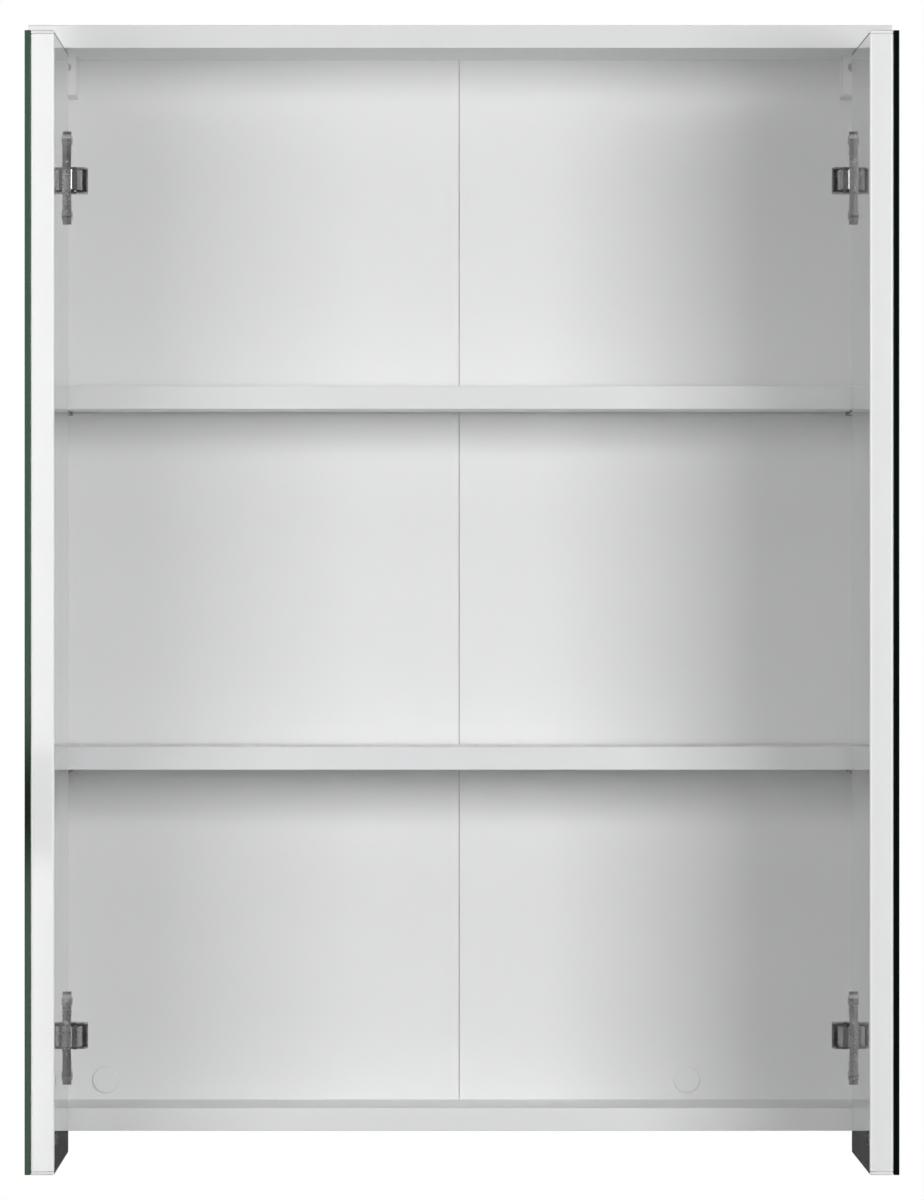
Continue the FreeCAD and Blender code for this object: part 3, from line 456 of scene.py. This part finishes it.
# ---- Back: two thin hardboard sheets side by side in grooves, white satin lacquer in front and bare brown
# behind, with a fabric tape glued over the seam and two round covers over the spare fixing holes.
back_lacquer, tree_of, shader, where = new_material("back_lacquer")
vector = where.outputs["Object"]
parts = tree_of.nodes.new("ShaderNodeSeparateXYZ")
tree_of.links.new(where.outputs["Normal"], parts.inputs["Vector"])
lacquered = sum_of(tree_of, "LESS_THAN", parts.outputs["Y"], -0.7)
fibre_mat = add_node(tree_of, "TexNoise", Scale=700.0, Detail=4.0, Distortion=1.2)
tree_of.links.new(vector, fibre_mat.inputs["Vector"])
bare = blend_colours(tree_of, fibre_mat.outputs["Fac"], (0.16, 0.085, 0.04), (0.34, 0.20, 0.11))
white_side = cloudy(tree_of, vector, 5.0, (0.850, 0.852, 0.855), (0.875, 0.877, 0.878))
tree_of.links.new(blend_colours(tree_of, lacquered, bare, white_side), shader.inputs["Base Color"])
rough = tree_of.nodes.new("ShaderNodeMix")
rough.inputs["A"].default_value = 0.7
sheen = place_group(tree_of, smudge_group, vector, Scale=4.0, Clean=0.38, Smudged=0.48)
tree_of.links.new(lacquered, rough.inputs["Factor"])
tree_of.links.new(sheen.outputs["Roughness"], rough.inputs["B"])
tree_of.links.new(rough.outputs["Result"], shader.inputs["Roughness"])
skin = place_group(tree_of, ripple_group, vector, Scale=420.0)
set_bump(tree_of, shader, skin.outputs["Height"], 0.10, 0.0003)
coat(["back_panel_left", "back_panel_right"], back_lacquer)

seam_tape, tree_of, shader, where = new_material("seam_tape", Roughness=0.85)
vector = where.outputs["Object"]
warp = add_node(tree_of, "TexWave", Scale=260.0, Distortion=0.4)
weft = add_node(tree_of, "TexWave", Scale=260.0, Distortion=0.4)
warp.bands_direction, weft.bands_direction = "X", "Z"
tree_of.links.new(vector, warp.inputs["Vector"])
tree_of.links.new(vector, weft.inputs["Vector"])
weave = sum_of(tree_of, "MULTIPLY", warp.outputs["Fac"], weft.outputs["Fac"])
tree_of.links.new(blend_colours(tree_of, weave, (0.60, 0.60, 0.58), (0.80, 0.80, 0.78)),
                  shader.inputs["Base Color"])
set_bump(tree_of, shader, weave, 0.5, 0.0002)
coat(["back_tape"], seam_tape)
cover_plastic = moulded_plastic("cover_plastic", (0.850, 0.852, 0.855), (0.875, 0.877, 0.878), 0.34, 0.44)
coat(["back_cover_caps"], cover_plastic)

# ---- Shelf pins: turned steel pegs, nickel-plated, pushed into holes in the side panels; the loose shelves
# lie on them.
nickel = plated_metal("nickel", (0.30, 0.295, 0.285), (0.50, 0.49, 0.475), 0.16, 0.34, 900.0, 0.22)
for level in ("lower", "upper"):
    eased_copy(f"shelf_pins_{level}", "cabinet", nickel, 0.0005)

# ---- Hangers: a white moulded housing in each upper rear corner, with a steel hook that reaches through the
# back to the wall rail and a cross-head screw in its nose that lifts or draws in the cabinet.
hanger_plastic = moulded_plastic("hanger_plastic", (0.86, 0.86, 0.855), (0.89, 0.89, 0.885), 0.28, 0.4)
for side in ("left", "right"):
    eased_copy(f"hanger_housing_{side}", "cabinet", hanger_plastic, 0.0006)
    eased_copy(f"hanger_hook_{side}", "cabinet", zinc, 0.0004)
    eased_copy(f"hanger_screw_{side}", "cabinet", zinc, 0.0002)

# ---- Hinges: concealed cup hinges of pressed, nickel-plated steel. A winged plate is screwed to the side
# panel, a channel-shaped arm clips over it, and a bent link joins the arm to the cup let into the door.
pressed_arm = plated_metal("pressed_arm", (0.20, 0.20, 0.20), (0.36, 0.355, 0.35), 0.2, 0.36, 1100.0, 0.25)
for side in ("left", "right"):
    for level in ("lower", "upper"):
        eased_copy(f"hinge_plate_{level}_{side}", "cabinet", nickel, 0.0004)
        eased_copy(f"hinge_arm_{level}_{side}", "cabinet", pressed_arm, 0.00035)
        eased_copy(f"hinge_link_{level}_{side}", f"links_{side}", pressed_arm, 0.0004)
        eased_copy(f"hinge_cup_{level}_{side}", f"door_{side}", nickel, 0.0004)
    for fitting in ("plate_screws", "arm_screws", "arm_pins"):
        eased_copy(f"hinge_{fitting}_{side}", "cabinet", nickel, 0.0002)
    for fitting in ("cup_pins", "cup_screws"):
        eased_copy(f"hinge_{fitting}_{side}", f"door_{side}", nickel, 0.0002)

# ---- Door boards: 16 mm board with a high-gloss white lacquer on the inner face, polished until it mirrors
# the hinges and shelves at a low angle.
door_dark, door_light = (0.76, 0.765, 0.77), (0.79, 0.794, 0.797)
door_board = faced_board("door_board", "X", door_dark, door_light, 0.012, 0.02, 26.0)
coat(["door_board_left", "door_board_right"], door_board)

# ---- Door edging: thick ABS strips all round each door, the two end strips running over the upright ones,
# with rounded outer arrises and a hairline joint wherever two strips or a strip and the board meet.


def block(name, low, high):
    """A box from its lowest to its highest corner, with its place in its mesh."""
    bpy.ops.object.select_all(action="DESELECT")
    bpy.ops.mesh.primitive_cube_add(size=1, location=(low + high) / 2)
    piece = bpy.context.active_object
    piece.name = name
    piece.scale = high - low
    bpy.ops.object.transform_apply(location=True, rotation=True, scale=True)
    return piece


def round_edges(piece, chosen, radius, segments):
    """Rounds the edges for which chosen(start, end) holds."""
    edit(piece)
    bpy.ops.mesh.select_mode(type="EDGE")
    outline = bmesh.from_edit_mesh(piece.data)
    for edge in outline.edges:
        edge.select_set(chosen(*(corner.co for corner in edge.verts)))
    bmesh.update_edit_mesh(piece.data)
    bpy.ops.mesh.bevel(offset=radius, segments=segments, affect="EDGES")
    bpy.ops.object.mode_set(mode="OBJECT")


def join(name, pieces):
    """One piece of several."""
    bpy.ops.object.select_all(action="DESELECT")
    for piece in pieces:
        piece.select_set(True)
    bpy.context.view_layer.objects.active = pieces[0]
    bpy.ops.object.join()
    pieces[0].name = name
    return pieces[0]


# Painted highlight: a paler, duller white for the rounded outer arrises of the upright strips, standing in
# for the light that the rounding catches.
painted_highlight_plastic, tree_of, shader, where = new_material("painted_highlight_plastic")
vector = where.outputs["Object"]
tree_of.links.new(cloudy(tree_of, vector, 11.0, (0.955, 0.957, 0.960), (0.970, 0.972, 0.974)),
                  shader.inputs["Base Color"])
sheen = place_group(tree_of, smudge_group, vector, Scale=9.0, Clean=0.30, Smudged=0.38)
tree_of.links.new(sheen.outputs["Roughness"], shader.inputs["Roughness"])

cut_plastic, tree_of, shader, where = new_material("cut_plastic", Roughness=0.62)
vector = where.outputs["Object"]
tree_of.links.new(cloudy(tree_of, vector, 300.0, (0.84, 0.845, 0.85), (0.875, 0.879, 0.883)),
                  shader.inputs["Base Color"])
sawn = place_group(tree_of, ripple_group, vector, Scale=1500.0)
set_bump(tree_of, shader, sawn.outputs["Height"], 0.2, 0.0001)

# Painted shade: a near-black chamfer along the inner long edges of the top and bottom strips, standing in for
# the shadowed gap line at the door's inner top and bottom edges.
painted_shade_line, tree_of, shader, where = new_material("painted_shade_line", Roughness=0.7)
tree_of.links.new(cloudy(tree_of, where.outputs["Object"], 200.0, (0.035, 0.035, 0.035), (0.06, 0.06, 0.058)),
                  shader.inputs["Base Color"])

strip_thickness = 0.0015
end_strip_thickness = 0.0025
arris_radius = 0.0014
hairline = 0.00035
end_strip_chamfer = 0.0007
for side in ("left", "right"):
    low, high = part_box(f"door_bands_{side}")
    into_cabinet = 1 if side == "left" else -1
    foot, head = low.z + end_strip_thickness, high.z - end_strip_thickness
    spans = {
        "near": (Vector((low.x, low.y, foot)), Vector((high.x, low.y + strip_thickness, head))),
        "far": (Vector((low.x, high.y - strip_thickness, foot)), Vector((high.x, high.y, head))),
        "bottom": (low, Vector((high.x, high.y, foot))),
        "top": (Vector((low.x, low.y, head)), high),
    }
    strips = []
    for key, (start, end) in spans.items():
        strip = block(f"edging_{side}_{key}", start, end)
        upright = key in ("near", "far")
        outer_y = start.y if key == "near" else end.y

        def outer_arris(a, b, outer_y=outer_y):
            on_face = abs(a.y - outer_y) < 1e-5 and abs(b.y - outer_y) < 1e-5
            return on_face and abs(a.x - b.x) < 1e-5

        if upright:
            round_edges(strip, outer_arris, arris_radius, 4)
        ease_edges(strip, hairline if upright else end_strip_chamfer, 1, angle=60)
        for material in (band_plastic, painted_highlight_plastic, cut_plastic, painted_shade_line):
            strip.data.materials.append(material)
        for face in strip.data.polygons:
            slanted = max(abs(value) for value in face.normal) < 0.99
            inward_lean = face.normal.x * into_cabinet
            if upright:
                # The rounded outer arrises take the paler painted highlight.
                face.material_index = 1 if slanted and abs(face.normal.z) < 0.3 else 0
            elif slanted:
                # The inner chamfers of the end strips take the near-black painted shade line.
                face.material_index = 3 if inward_lean > 0.3 and abs(face.normal.y) < 0.3 else 0
            else:
                face.material_index = 2 if abs(face.normal.y) > 0.99 else 0
        strips.append(strip)
    edging = join(f"door_edging_{side}", strips)
    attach(edging, f"door_{side}")
    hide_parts(f"door_bands_{side}")

# ---- Bumpers: clear soft domes stuck low on the inner face, which stop the door against the carcass.
clear_plastic = moulded_plastic("clear_plastic", (0.84, 0.85, 0.84), (0.88, 0.885, 0.88), 0.12, 0.2,
                                IOR=1.42, Transmission_Weight=0.92)
for side in ("left", "right"):
    eased_copy(f"door_bumpers_{side}", f"door_{side}", clear_plastic, 0.0006, 3)

# ---- Mirrors: 4 mm float glass glued over the whole outer face of each door, silvered behind, its edges
# ground flat and polished with a fine arris. The left edge shows the green of the glass, the right is dark.
silver, tree_of, shader, where = new_material("silver", Metallic=1.0)
vector = where.outputs["Object"]
tree_of.links.new(cloudy(tree_of, vector, 3.0, (0.86, 0.895, 0.88), (0.88, 0.91, 0.895)),
                  shader.inputs["Base Color"])
sheen = place_group(tree_of, smudge_group, vector, Scale=6.0, Clean=0.004, Smudged=0.03)
tree_of.links.new(sheen.outputs["Roughness"], shader.inputs["Roughness"])

backing, tree_of, shader, where = new_material("backing_paint", Roughness=0.55)
tree_of.links.new(cloudy(tree_of, where.outputs["Object"], 40.0, (0.10, 0.12, 0.12), (0.15, 0.17, 0.165)),
                  shader.inputs["Base Color"])

polished, tree_of, shader, where = new_material("polished_edge", Metallic=1.0, Roughness=0.05)
vector = where.outputs["Object"]
grinding = add_node(tree_of, "TexNoise", Scale=1.0, Detail=3.0)
along_edge = add_node(tree_of, "Mapping", Scale=(3000.0, 3000.0, 60.0))
tree_of.links.new(vector, along_edge.inputs["Vector"])
tree_of.links.new(along_edge.outputs["Vector"], grinding.inputs["Vector"])
glass_green = blend_colours(tree_of, grinding.outputs["Fac"], (0.014, 0.026, 0.016), (0.022, 0.037, 0.025))
tree_of.links.new(glass_green, shader.inputs["Base Color"])

pane_arris = 0.0004
for side in ("left", "right"):
    pane = block(f"mirror_pane_{side}", *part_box(f"door_mirror_{side}"))
    ease_edges(pane, pane_arris, 2)
    for material in (silver, backing, polished):
        pane.data.materials.append(material)
    out_of_door = -1 if side == "left" else 1
    for face in pane.data.polygons:
        lean = face.normal.x * out_of_door
        face.material_index = 0 if lean > 0.99 else 1 if lean < -0.99 else 2
    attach(pane, f"door_{side}")
    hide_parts(f"door_mirror_{side}")
